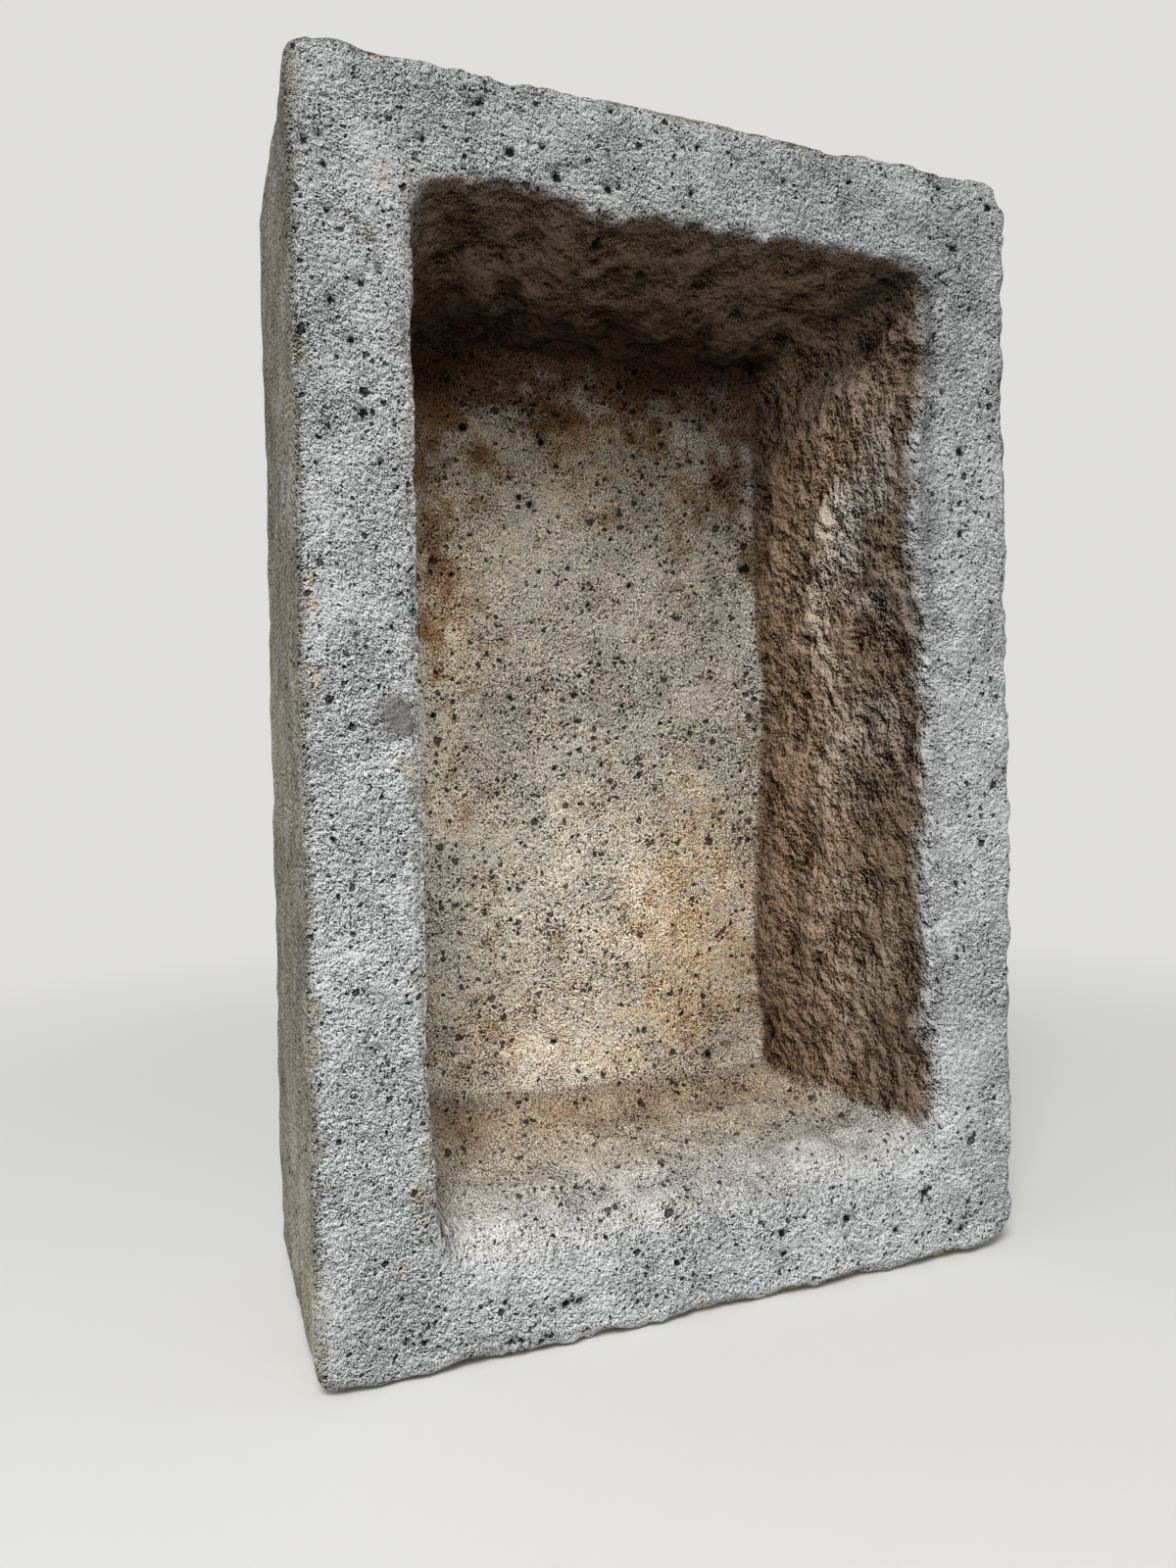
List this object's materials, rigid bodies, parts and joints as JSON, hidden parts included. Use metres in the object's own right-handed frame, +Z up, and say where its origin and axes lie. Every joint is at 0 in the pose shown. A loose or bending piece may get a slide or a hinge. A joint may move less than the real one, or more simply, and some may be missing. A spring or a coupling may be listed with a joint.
{
  "type": "stone trough planter",
  "caption": "Rectangular hewn stone trough planter with a deep hollow, sloping inner walls and worn edges, standing upright on its short end.",
  "frame": {"origin": "middle of the short end that the trough stands on, at the centre of its box", "axes": "+Z up, along the trough's length; +Y through its depth, from the rim to the underside, so the hollow opens towards -Y; +X to the right as seen from the hollow's side"},
  "size_m": [0.3399, 0.14, 0.5199],
  "materials": {
    "lava_stone": "rough porous grey lava stone, hand dressed, stained brown inside the hollow"
  },
  "bodies": {
    "root": {"stone_trough": "lava_stone"}
  },
  "joints": []
}
